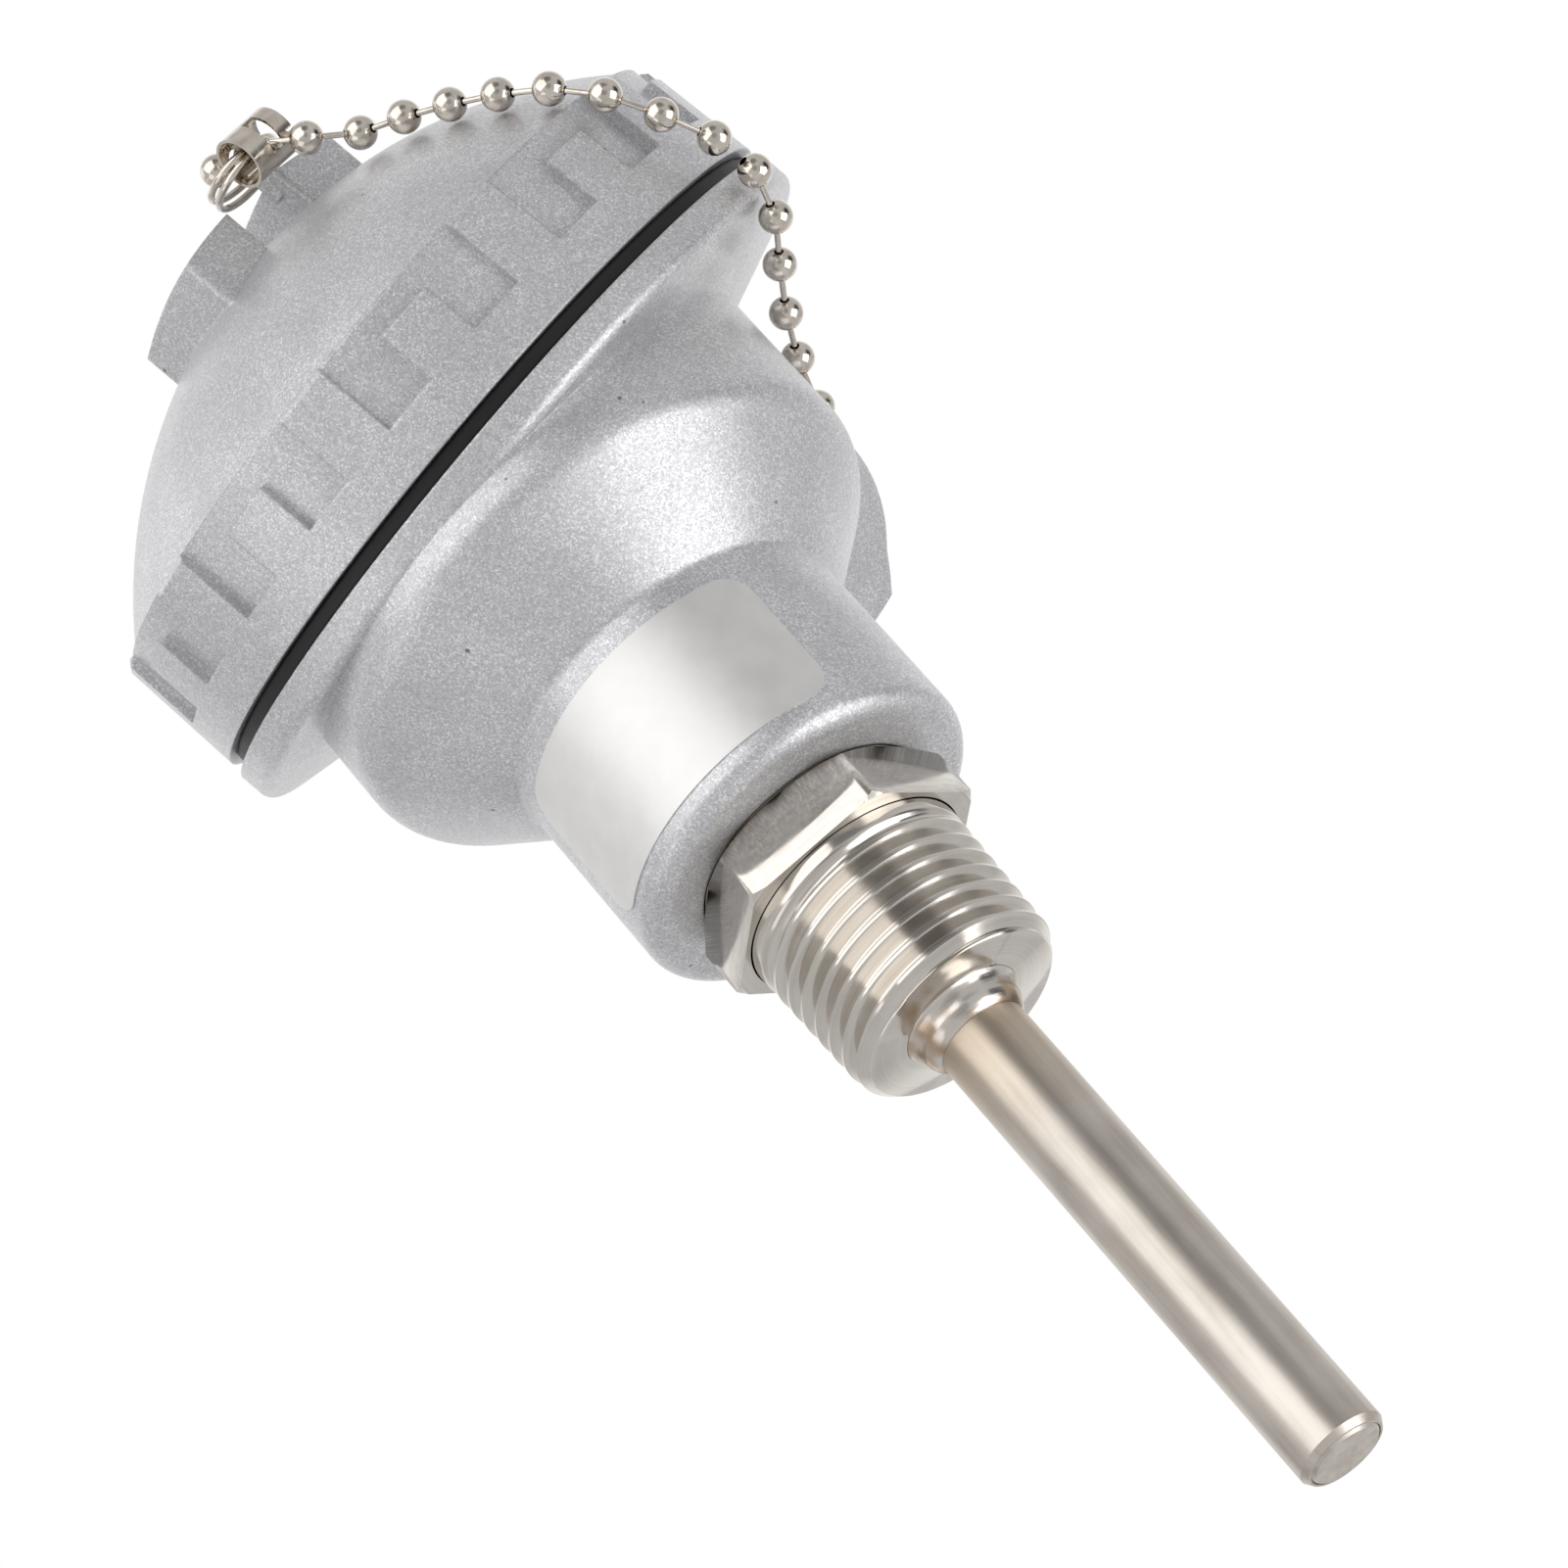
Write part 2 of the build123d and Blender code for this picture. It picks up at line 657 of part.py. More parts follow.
tube = make_tube()
housing = make_housing()
cap = make_cap()
nut, thrust_ring, grommet = make_gland()
clamps, terminal_screws, wires = make_terminals()

save(tube, "protection_tube")
save(make_tip_plug(), "tube_tip_plug")
save(make_weld(), "weld_collar")
save(make_fitting(), "process_fitting")
save(rod(element_radius, tip_z + tip_plug_length + element_tip_gap,
         tip_z + tip_plug_length + element_tip_gap + element_length), "sensing_element")
save(make_insulator(), "wire_insulator")
save(make_potting(), "potting_plug")
save(housing, "head_housing")
save(cap, "screw_cap")
save(make_seal(), "cap_seal")
save(nut, "gland_nut")
save(thrust_ring, "gland_thrust_ring")
save(grommet, "gland_grommet")
save(make_block(), "terminal_block")
save(Compound(children=clamps), "terminal_clamps")
save(Compound(children=terminal_screws), "terminal_screws")
for wire, colour in zip(wires, ("red", "white_a", "white_b")):
    save(wire, f"lead_wire_{colour}")
block_screws = []
for side in (-1, 1):
    screw = slotted_screw(block_screw_head_radius, block_screw_head_height, block_screw_radius,
                          block_height + post_hole_depth - 1.5)
    block_screws.append(Pos(0, side * post_spacing / 2, block_top) * screw)
save(Compound(children=block_screws), "block_screws")
save(make_label(), "label_foil")

# chain that rides with the cap: a ring in the lug's eye, a sleeve, and the beads down to the seal
lean = math.radians(ring_lean)
cap_ring_normal = Vector(math.sin(lean), 0, math.cos(lean))
cap_ring_centre = lug_eye() + Vector(-math.cos(lean), 0, math.sin(lean)) * ring_radius
cap_sleeve_centre = cap_ring_centre + Vector(*cap_sleeve_offset)
sleeve_frame = Plane(origin=cap_sleeve_centre, x_dir=(cap_ring_centre - cap_sleeve_centre),
                     z_dir=cap_sleeve_axis)
route = [cap_ring_centre + Vector(*first_bead_offset)]
for direction, lean_angle, gap in dome_route:
    reach = dome_sphere_radius + bead_radius + gap
    tilt = math.radians(lean_angle)
    route.append(around(direction, reach * math.sin(tilt), sphere_centre + reach * math.cos(tilt)))
for direction, out, height in band_route:
    route.append(around(direction, flange_radius + out, height))
cap_beads = beads_along(route, cap_bead_count)
end_bead = cap_ring_centre + Vector(*end_bead_offset)

# chain that rides with the body: beads under the flange, round the drum and to the ear
ear_hole = Vector(ear_x, 0, ear_z)
ring_way = Vector(*body_ring_way).normalized()
body_sleeve_axis = (Vector(0, 1, 0) - ring_way * ring_way.Y).normalized()
body_ring_centre = ear_hole + ring_way * ring_radius
body_sleeve_centre = body_ring_centre + ring_way * (ring_radius - ring_slack)
body_sleeve_frame = Plane(origin=body_sleeve_centre, x_dir=ring_way, z_dir=body_sleeve_axis)
route = []
for direction, out, height in flange_route:
    route.append(cap_plane.from_local_coords(around(direction, flange_radius + out, height)))
for direction, gap, drop in drum_route:
    route.append(around(direction, drum_radius + bead_radius + gap, cap_height - drop))
for direction, gap, drop in boss_route:
    route.append(around(direction, drum_radius + bead_radius + gap, entry_height - drop))
route.append(body_sleeve_frame.from_local_coords(Vector(*last_bead)))
body_beads = beads_along(route, body_bead_count)

cap_head = sleeve_frame.from_local_coords(Vector(*chain_head))
side_head = sleeve_frame.from_local_coords(Vector(*end_head))
body_head = body_sleeve_frame.from_local_coords(Vector(*last_head))
seal_neighbour = cap_plane.to_local_coords(body_beads[0])
beads, links = make_chain(cap_beads, after=seal_neighbour, first_head=cap_head)
side_beads, side_links = make_chain([end_bead], last_head=side_head)
save(cap_plane * Compound(children=beads + side_beads), "cap_chain_beads")
save(cap_plane * Compound(children=links + side_links), "cap_chain_links")
slot_start, slot_sweep = sleeve_slot
sleeve = make_sleeve() - ring_sector(sleeve_radius / 2, 2 * sleeve_radius, sleeve_slot_low, sleeve_slot_high,
                                     slot_start, slot_sweep)
sleeve = sleeve_frame * sleeve - sleeve_opening(side_head, end_bead)
save(cap_plane * sleeve, "cap_chain_sleeve")
save(cap_plane * make_ring(cap_ring_centre, cap_ring_normal, Vector(0, -1, 0)), "cap_split_ring")
beads, links = make_chain(body_beads, before=cap_plane.from_local_coords(cap_beads[-1]), last_head=body_head)
save(Compound(children=beads), "body_chain_beads")
save(Compound(children=links), "body_chain_links")
save(body_sleeve_frame * make_sleeve() - sleeve_opening(body_head, body_beads[-1]), "body_chain_sleeve")
save(make_ring(body_ring_centre, body_sleeve_axis.cross(ring_way), -ring_way), "body_split_ring")
for name, points in (("cap", cap_beads), ("body", body_beads)):
    steps = [(points[n + 1] - points[n]).length for n in range(len(points) - 1)]
    print(name, "bead spacing", round(min(steps), 2), "to", round(max(steps), 2))
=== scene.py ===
import bpy
import bmesh
import math
from mathutils import Matrix, Vector, noise


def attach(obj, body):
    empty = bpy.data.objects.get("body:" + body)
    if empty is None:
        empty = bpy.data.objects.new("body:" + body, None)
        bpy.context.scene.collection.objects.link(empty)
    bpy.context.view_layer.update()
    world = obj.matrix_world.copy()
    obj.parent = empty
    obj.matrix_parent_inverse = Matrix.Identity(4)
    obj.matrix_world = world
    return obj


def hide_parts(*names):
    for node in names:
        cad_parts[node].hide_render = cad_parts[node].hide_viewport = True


# Resistance probe with a die-cast head. Everything is in metres, in the frame of the CAD
# model: the origin is under the hexagon on the probe axis, and +Z runs up to the head.

mm = 0.001


def hexToLinear(text, alpha=1.0):
    # an sRGB hex colour as linear values
    parts = [int(text[i:i + 2], 16) / 255 for i in (1, 3, 5)]
    return [p / 12.92 if p <= 0.04045 else ((p + 0.055) / 1.055) ** 2.4 for p in parts] + [alpha]


def addNode(tree, kind, settings=None, inputs=None, links=None):
    # one node, with its settings, its input values and its incoming links
    node = tree.nodes.new(kind)
    for name, value in (settings or {}).items():
        setattr(node, name, value)
    for name, value in (inputs or {}).items():
        node.inputs[name].default_value = value
    for name, source in (links or {}).items():
        tree.links.new(source, node.inputs[name])
    return node


def newMaterial(name):
    # an empty material with its shader, its output and object-space coordinates
    material = bpy.data.materials.new(name)
    material.use_nodes = True
    tree = material.node_tree
    tree.nodes.clear()
    shader = addNode(tree, "ShaderNodeBsdfPrincipled")
    addNode(tree, "ShaderNodeOutputMaterial", links={"Surface": shader.outputs[0]})
    place = addNode(tree, "ShaderNodeTexCoord").outputs["Object"]
    return material, tree, shader, place


def setShader(shader, values):
    for name, value in values.items():
        shader.inputs[name].default_value = value


def noiseOf(tree, place, size, detail, contrast=0.5):
    # soft noise with features of a size in mm
    pattern = addNode(tree, "ShaderNodeTexNoise", None,
                      {"Scale": 1 / (size * mm), "Detail": detail, "Roughness": contrast}, {"Vector": place})
    return pattern.outputs["Fac"]


def addTimes(tree, source, factor, base):
    # source times factor, added to a number or to another pattern
    inputs = {1: factor}
    links = {0: source}
    if isinstance(base, float):
        inputs[2] = base
    else:
        links[2] = base
    return addNode(tree, "ShaderNodeMath", {"operation": "MULTIPLY_ADD"}, inputs, links).outputs[0]


def varyRoughness(tree, shader, source, middle, below, above, window=(0.0, 1.0)):
    # the roughness goes from middle - below to middle + above across a window of the pattern
    rough = addNode(tree, "ShaderNodeMapRange", None,
                    {"From Min": window[0], "From Max": window[1],
                     "To Min": middle - below, "To Max": middle + above}, {"Value": source})
    tree.links.new(rough.outputs["Result"], shader.inputs["Roughness"])


noiseCore = (0.3, 0.7)     # where nearly all of a noise lies
bevelSamples = 4


def colourRamp(tree, source, stops):
    # stops are (place, value) or (place, hex colour)
    ramp = addNode(tree, "ShaderNodeValToRGB", links={"Fac": source})
    elements = ramp.color_ramp.elements
    for number, (place, value) in enumerate(stops):
        element = elements[number] if number < 2 else elements.new(place)
        element.position = place
        element.color = hexToLinear(value) if isinstance(value, str) else (value, value, value, 1)
    return ramp.outputs["Color"]


def colourShader(tree, shader, source, stops):
    tree.links.new(colourRamp(tree, source, stops), shader.inputs["Base Color"])


def wrinkle(tree, shader, height, distance, strength=1.0, edge=0.0):
    # the relief in metres is height times distance, and edge is the radius that sharp edges look rounded to
    bump = addNode(tree, "ShaderNodeBump", inputs={"Strength": strength, "Distance": distance},
                   links={"Height": height})
    if edge:
        soft = addNode(tree, "ShaderNodeBevel", {"samples": bevelSamples}, {"Radius": edge})
        tree.links.new(soft.outputs["Normal"], bump.inputs["Normal"])
    tree.links.new(bump.outputs["Normal"], shader.inputs["Normal"])


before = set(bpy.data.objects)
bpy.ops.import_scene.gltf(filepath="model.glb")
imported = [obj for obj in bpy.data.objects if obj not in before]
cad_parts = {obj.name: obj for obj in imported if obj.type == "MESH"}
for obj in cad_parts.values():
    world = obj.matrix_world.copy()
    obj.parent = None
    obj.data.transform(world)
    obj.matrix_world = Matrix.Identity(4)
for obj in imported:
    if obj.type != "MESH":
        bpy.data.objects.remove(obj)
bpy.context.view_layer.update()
print("frame loaded")


# Casting: silver aluminium paint sprayed over an aluminium die casting
castingLook = {
    "bright": "#D3D3D5",
    "dark": "#B6B6B9",
    # painted highlight: the colour of the brightest flakes, standing in for their sparkle
    "paintedGlint": "#E9E9EB",
    "roughness": 0.4,
    "metallic": 0.7,
    "flakeSize": 0.1,       # mm, a flake of the paint
    "orangePeel": 0.9,      # mm, the soft waviness of the sprayed film
    "cloudSize": 7,         # mm, slow changes of tone
    "relief": 0.02 * mm,
    "pitSize": 5.5,         # mm between the rare pin holes of the casting, painted as dark dots of shade since they have no relief
    "edge": 0.35 * mm,      # the film draws back from sharp edges and rounds them
}


def makeCasting(name, look):
    # flake cells take random tones of the paint, and the brightest take a painted highlight colour that
    # stands in for flakes catching the light, so the eye sees a fine painted sparkle over a soft satin shine
    material, tree, shader, place = newMaterial(name)
    flake = addNode(tree, "ShaderNodeTexVoronoi", {"feature": "F1"},
                    {"Scale": 1 / (look["flakeSize"] * 1.4 * mm)}, {"Vector": place})
    split = addNode(tree, "ShaderNodeSeparateColor", links={"Color": flake.outputs["Color"]})
    tone = addTimes(tree, noiseOf(tree, place, look["cloudSize"], 3.0), 0.5, -0.25)
    both = addNode(tree, "ShaderNodeMath", {"operation": "ADD"}, None,
                   {0: split.outputs["Red"], 1: tone})
    # dark and bright are the paint's own random flake tones; the top stop is the painted highlight
    colour = colourRamp(tree, both.outputs[0],
                        [(0.0, look["dark"]), (0.8, look["bright"]), (0.97, look["paintedGlint"])])
    # the pin holes have no relief: a painted shade darkens the colour at their centres, standing in for the
    # shadow inside them
    pits = addNode(tree, "ShaderNodeTexVoronoi", {"feature": "F1"}, {"Scale": 1 / (look["pitSize"] * mm)},
                   {"Vector": place})
    pinholeShade = addNode(tree, "ShaderNodeMapRange", {"clamp": True},
                   {"From Min": 0.03, "From Max": 0.045, "To Min": 0.35, "To Max": 1.0},
                   {"Value": pits.outputs["Distance"]})
    shaded = addNode(tree, "ShaderNodeMix", {"data_type": "RGBA", "blend_type": "MULTIPLY"},
                     {"Factor": 1.0}, {"A": colour, "B": pinholeShade.outputs["Result"]})
    tree.links.new(shaded.outputs["Result"], shader.inputs["Base Color"])
    varyRoughness(tree, shader, split.outputs["Green"], look["roughness"], 0.06, 0.1)
    height = addTimes(tree, split.outputs["Blue"], 0.22, noiseOf(tree, place, look["orangePeel"], 2.0))
    wrinkle(tree, shader, height, look["relief"], 0.7, look["edge"])
    setShader(shader, {"Metallic": look["metallic"], "Coat Weight": 0.25, "Coat Roughness": 0.22})
    return material


# Seal: extruded nitrile rubber, closed and slightly polished by handling
rubberLook = {"colour": "#0D0D0E", "worn": "#17181A", "roughness": 0.5, "patch": 2.5, "relief": 0.03 * mm}


def makeRubber(name, look):
    material, tree, shader, place = newMaterial(name)
    patch = noiseOf(tree, place, look["patch"], 4.0)
    colourShader(tree, shader, patch, [(0.4, look["colour"]), (0.75, look["worn"])])
    varyRoughness(tree, shader, patch, look["roughness"], 0.05, 0.12)
    wrinkle(tree, shader, patch, look["relief"], 0.6)
    return material


# Turned stainless steel: the tool leaves fine rings about the probe axis
turnedLook = {
    "bright": "#DDD8D1",
    "dark": "#CDC7BF",
    "roughness": 0.12,
    "feed": 0.22,           # mm between the rings
    "patch": 3.5,           # mm
    "relief": 0.004 * mm,
}


def makeTurned(name, look):
    # rings catch the light as thin streaks across every face that the lathe cut
    material, tree, shader, place = newMaterial(name)
    split = addNode(tree, "ShaderNodeSeparateXYZ", links={"Vector": place})
    across = addNode(tree, "ShaderNodeCombineXYZ", None, None,
                     {"X": split.outputs["X"], "Y": split.outputs["Y"]})
    radius = addNode(tree, "ShaderNodeVectorMath", {"operation": "LENGTH"}, None, {0: across.outputs[0]})
    path = addNode(tree, "ShaderNodeCombineXYZ", None, None,
                   {"X": radius.outputs["Value"], "Z": split.outputs["Z"]})
    streak = noiseOf(tree, path.outputs[0], look["feed"] * 2, 3.0)
    patch = noiseOf(tree, place, look["patch"], 3.0)
    mixed = addTimes(tree, patch, 0.5, streak)
    colourShader(tree, shader, mixed, [(0.55, look["dark"]), (0.95, look["bright"])])
    varyRoughness(tree, shader, patch, look["roughness"], 0.05, 0.1, noiseCore)
    wrinkle(tree, shader, streak, look["relief"], 0.6)
    setShader(shader, {"Metallic": 1.0})
    return material


# Milled and tumbled flats of the hexagon: satin, with a fine speckle and no rings
milledLook = {
    "bright": "#EDE8E3",
    "dark": "#D6D0CA",
    "roughness": 0.23,
    "speckle": 0.22,        # mm
    "patch": 4,             # mm
    "relief": 0.012 * mm,
}


def makeMilled(name, look):
    material, tree, shader, place = newMaterial(name)
    speckle = noiseOf(tree, place, look["speckle"], 2.0)
    patch = noiseOf(tree, place, look["patch"], 3.0)
    colourShader(tree, shader, speckle, [(0.35, look["dark"]), (0.6, look["bright"])])
    varyRoughness(tree, shader, patch, look["roughness"], 0.06, 0.06, noiseCore)
    wrinkle(tree, shader, addTimes(tree, patch, 6.0, speckle), look["relief"], 0.8)
    setShader(shader, {"Metallic": 1.0})
    return material


# Weld bead: bright where it melted, tinted straw and brown by the heat beside it
weldSteelLook = {
    "bright": "#D8D2CA",
    "straw": "#BCA892",
    "brown": "#7A675B",
    "roughness": 0.2,
    "tintSize": 5,          # mm
    "ripple": 0.5,          # mm
    "relief": 0.02 * mm,
}


def makeWeldSteel(name, look):
    material, tree, shader, place = newMaterial(name)
    cloud = noiseOf(tree, place, look["tintSize"], 2.0)
    colourShader(tree, shader, cloud, [(0.33, look["brown"]), (0.42, look["straw"]), (0.5, look["bright"])])
    varyRoughness(tree, shader, cloud, look["roughness"], -0.1, -0.05)
    wrinkle(tree, shader, noiseOf(tree, place, look["ripple"], 2.0), look["relief"], 0.6)
    setShader(shader, {"Metallic": 1.0})
    return material


# Drawn stainless tube: long faint streaks along its length, and a warm tint near the weld
tubeLook = {
    "bright": "#D3CCC3",
    "dark": "#B7AFA5",
    "warm": "#B9A183",
    "roughness": 0.22,
    "streak": 1.1,          # mm wide
    "stretch": 0.06,        # width of a streak for its length
    "patch": 7,             # mm
    "tintFrom": -30 * mm,
    "tintTo": -19 * mm,
    "relief": 0.01 * mm,
}


def makeTube(name, look):
    material, tree, shader, place = newMaterial(name)
    stretch = addNode(tree, "ShaderNodeMapping", None, {"Scale": (1.0, 1.0, look["stretch"])},
                      {"Vector": place})
    streak = noiseOf(tree, stretch.outputs[0], look["streak"], 5.0, 0.6)
    mixed = addTimes(tree, noiseOf(tree, place, look["patch"], 4.0), 0.7, streak)
    colour = colourRamp(tree, mixed, [(0.6, look["dark"]), (1.05, look["bright"])])
    split = addNode(tree, "ShaderNodeSeparateXYZ", links={"Vector": place})
    near = addNode(tree, "ShaderNodeMapRange", None,
                   {"From Min": look["tintFrom"], "From Max": look["tintTo"], "To Min": 0.0, "To Max": 0.5},
                   {"Value": split.outputs["Z"]})
    tint = addNode(tree, "ShaderNodeMix", {"data_type": "RGBA"}, None, {"Factor": near.outputs["Result"]})
    tree.links.new(colour, tint.inputs["A"])
    tint.inputs["B"].default_value = hexToLinear(look["warm"])
    tree.links.new(tint.outputs["Result"], shader.inputs["Base Color"])
    varyRoughness(tree, shader, mixed, look["roughness"], 0.05, 0.12, noiseCore)
    wrinkle(tree, shader, streak, look["relief"], 0.5)
    setShader(shader, {"Metallic": 1.0})
    return material


# Nickel plate on steel: the chain, its sleeves and its rings
nickelLook = {"bright": "#E0D9CF", "dark": "#CDC4B8", "roughness": 0.1, "patch": 0.9, "relief": 0.01 * mm}


def makeNickel(name, look):
    material, tree, shader, place = newMaterial(name)
    patch = noiseOf(tree, place, look["patch"], 3.0)
    colourShader(tree, shader, patch, [(0.35, look["dark"]), (0.65, look["bright"])])
    varyRoughness(tree, shader, patch, look["roughness"], 0.05, 0.1, noiseCore)
    wrinkle(tree, shader, patch, look["relief"], 0.4)
    setShader(shader, {"Metallic": 1.0})
    return material


# Plain bulk materials for what is inside the head, grain in mm
insideRelief = 0.015 * mm
insideLooks = {
    "zincPlate": {"bright": "#C9CCD0", "dark": "#A9ADB2", "roughness": 0.28, "metallic": 1.0, "grain": 0.6},
    "brass": {"bright": "#D9B873", "dark": "#B8924B", "roughness": 0.25, "metallic": 1.0, "grain": 0.7},
    "alumina": {"bright": "#EDE8DD", "dark": "#D8D2C4", "roughness": 0.55, "metallic": 0.0, "grain": 0.4},
    "epoxy": {"bright": "#40372F", "dark": "#2B2521", "roughness": 0.35, "metallic": 0.0, "grain": 1.5},
    "bakelite": {"bright": "#E1DACA", "dark": "#CFC7B4", "roughness": 0.4, "metallic": 0.0, "grain": 1.1},
    "redSheath": {"bright": "#C02A22", "dark": "#9E1F1A", "roughness": 0.35, "metallic": 0.0, "grain": 1.0},
    "whiteSheath": {"bright": "#F0EEE8", "dark": "#DAD7CF", "roughness": 0.35, "metallic": 0.0, "grain": 1.0},
    "softRubber": {"bright": "#2E2F31", "dark": "#1B1C1D", "roughness": 0.6, "metallic": 0.0, "grain": 0.8},
}


def makeInside(name, look):
    material, tree, shader, place = newMaterial(name)
    grain = noiseOf(tree, place, look["grain"], 4.0)
    colourShader(tree, shader, grain, [(0.35, look["dark"]), (0.65, look["bright"])])
    varyRoughness(tree, shader, grain, look["roughness"], 0.08, 0.08)
    wrinkle(tree, shader, grain, insideRelief, 0.5)
    setShader(shader, {"Metallic": look["metallic"]})
    return material


# Foil sticker: satin silver foil under a clear film
foilLook = {"bright": "#E6E5E3", "dark": "#E1E0DE", "roughness": 0.5, "mottle": 2.4, "relief": 0.01 * mm}


def makeFoil(name, look):
    # faintly mottled by the glue behind it
    material, tree, shader, place = newMaterial(name)
    mottle = noiseOf(tree, place, look["mottle"], 3.0)
    colourShader(tree, shader, mottle, [(0.35, look["dark"]), (0.65, look["bright"])])
    varyRoughness(tree, shader, mottle, look["roughness"], 0.03, 0.05)
    wrinkle(tree, shader, mottle, look["relief"], 0.4)
    setShader(shader, {"Metallic": 0.9, "Coat Weight": 0.15, "Coat Roughness": 0.3})
    return material


castingPaint = makeCasting("sprayedAluminiumPaint", castingLook)
nutPaint = makeCasting("sprayedNutPaint", dict(castingLook, bright="#D8D9DB", dark="#B2B4B7"))
sealRubber = makeRubber("extrudedNitrileRubber", rubberLook)
turnedSteel = makeTurned("turnedStainlessSteel", turnedLook)
milledSteel = makeMilled("milledStainlessSteel", milledLook)
weldSteel = makeWeldSteel("weldedStainlessSteel", weldSteelLook)
tubeSteel = makeTube("drawnStainlessTube", tubeLook)
nickelPlate = makeNickel("brightNickelPlate", nickelLook)
foilSheet = makeFoil("brushedAluminiumFoil", foilLook)
inside = {name: makeInside(name, look) for name, look in insideLooks.items()}

nodeMaterials = {
    "head_housing": castingPaint,
    "screw_cap": castingPaint,
    "gland_nut": nutPaint,
    "cap_seal": sealRubber,
    "gland_grommet": inside["softRubber"],
    "gland_thrust_ring": inside["zincPlate"],
    "process_fitting": turnedSteel,
    "weld_collar": weldSteel,
    "protection_tube": tubeSteel,
    "tube_tip_plug": tubeSteel,
    "sensing_element": inside["alumina"],
    "wire_insulator": inside["alumina"],
    "potting_plug": inside["epoxy"],
    "terminal_block": inside["bakelite"],
    "terminal_clamps": inside["brass"],
    "terminal_screws": inside["zincPlate"],
    "block_screws": inside["zincPlate"],
    "lead_wire_red": inside["redSheath"],
    "lead_wire_white_a": inside["whiteSheath"],
    "lead_wire_white_b": inside["whiteSheath"],
    "label_foil": foilSheet,
}
for node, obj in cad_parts.items():
    chosen = nodeMaterials.get(node, nickelPlate)
    for slotNumber in range(len(obj.material_slots)):
        obj.material_slots[slotNumber].material = chosen
print("materials done")


# Helical thread in place of the plain rings that the solid model has
threadLook = {
    "bigRadius": 10.45,     # mm, at the hexagon
    "taper": 1 / 32.0,
    "pitch": 1.814,
    "depth": 1.1,
    "reach": 14.7,
    "runout": 1.2,          # mm under the hexagon where the groove starts
    "runoutLength": 1.4,
    "chamfer": 0.95,
    "crest": 0.12,          # part of the pitch that is flat at the top
    "root": 0.08,           # part that is flat at the bottom
    "flankRows": 4,
    "around": 180,
    "boreRadius": 3.86,
    "keptRadius": 4.2,      # the solid's faces inside it stay
    "sharpAngle": 24,       # degrees
    "nearby": 0.02,         # mm, what counts as the same place
    "merge": 0.0005,        # mm
}

# The hexagon has the solid's height and size across its flats. As in the photograph, it stands turned by
# 30 degrees from the solid's one, is chamfered at its upper end and has less cut off its lower corners
hexLook = {
    "flats": 22.0,          # mm
    "height": 6.0,
    "facing": 18.9,         # degrees, the direction of a flat
    "shankRadius": 10.9,
    "cornerCut": 0.55,      # mm turned off each corner at the lower end
    "cutSlope": 0.58,
    "topShare": 0.96,       # share of the half width where the upper chamfer ends
    "topSlope": 0.577,
    "rootDepth": 1.5,       # mm that the underside runs in under the thread
    "stepsPerFlat": 24,
    "cutStart": 0.01,       # mm, where a side starts between the cut corners
}


def roundAxis(radius, angle, z):
    # a point given in mm round the probe axis
    return Vector((radius * math.cos(angle), radius * math.sin(angle), z)) * mm


def addHexagon(grid, back, look, threadRadius):
    # sides, underside and chamfers as rings of points round the probe axis
    steps = 6 * look["stepsPerFlat"]
    low = look["flats"] / math.sqrt(3) - look["cornerCut"]
    high = look["flats"] / 2 * look["topShare"]
    height = look["height"]

    def ring(pointAt):
        made = []
        for step in range(steps):
            away = math.radians((step % look["stepsPerFlat"]) / look["stepsPerFlat"] * 60 - 30)
            angle = math.radians(look["facing"] + step * 60 / look["stepsPerFlat"] - 30)
            radius, z = pointAt(look["flats"] / 2 / math.cos(away))
            made.append(grid.verts.new(back @ roundAxis(radius, angle, z)))
        return made

    rings = [
        ring(lambda side: (threadRadius - look["rootDepth"], 0.0)),
        ring(lambda side: (min(side, low), 0.0)),
        ring(lambda side: (side, max(look["cutStart"], (side - low) * look["cutSlope"]))),
        ring(lambda side: (side, height - (side - high) * look["topSlope"])),
        ring(lambda side: (high, height)),
        ring(lambda side: (look["shankRadius"], height)),
    ]
    for number, (lower, upper) in enumerate(zip(rings, rings[1:])):
        for step in range(steps):
            after = (step + 1) % steps
            face = grid.faces.new((lower[step], lower[after], upper[after], upper[step]))
            face.smooth = lower is not rings[2]      # the flats stay flat
            face.material_index = 1 if 0 < number < len(rings) - 2 else 0


def threadPhases(look):
    # places along one pitch where the profile turns, with rows between them on the flanks
    flank = (1 - look["crest"] - look["root"]) / 2
    steps = [flank * n / look["flankRows"] for n in range(1, look["flankRows"] + 1)]
    down = [look["crest"] + step for step in steps]
    rise = [down[-1] + look["root"] + step for step in steps[:-1]]
    return [0.0, look["crest"]] + down + [down[-1] + look["root"]] + rise


def threadRadius(look, z, turn):
    # the thread's radius at a height and a part of a turn
    phase = (turn - z / look["pitch"]) % 1.0
    flank = (1 - look["crest"] - look["root"]) / 2
    along = abs(phase - look["crest"] / 2 - 0.5)
    cut = max(0.0, min(1.0, (0.5 - look["crest"] / 2 - along) / flank))
    fade = max(0.0, min(1.0, (-z - look["runout"]) / look["runoutLength"]))
    cone = look["bigRadius"] + look["taper"] * z
    left = look["reach"] + z
    return min(cone - look["depth"] * cut * fade, cone - max(0.0, look["chamfer"] - left))


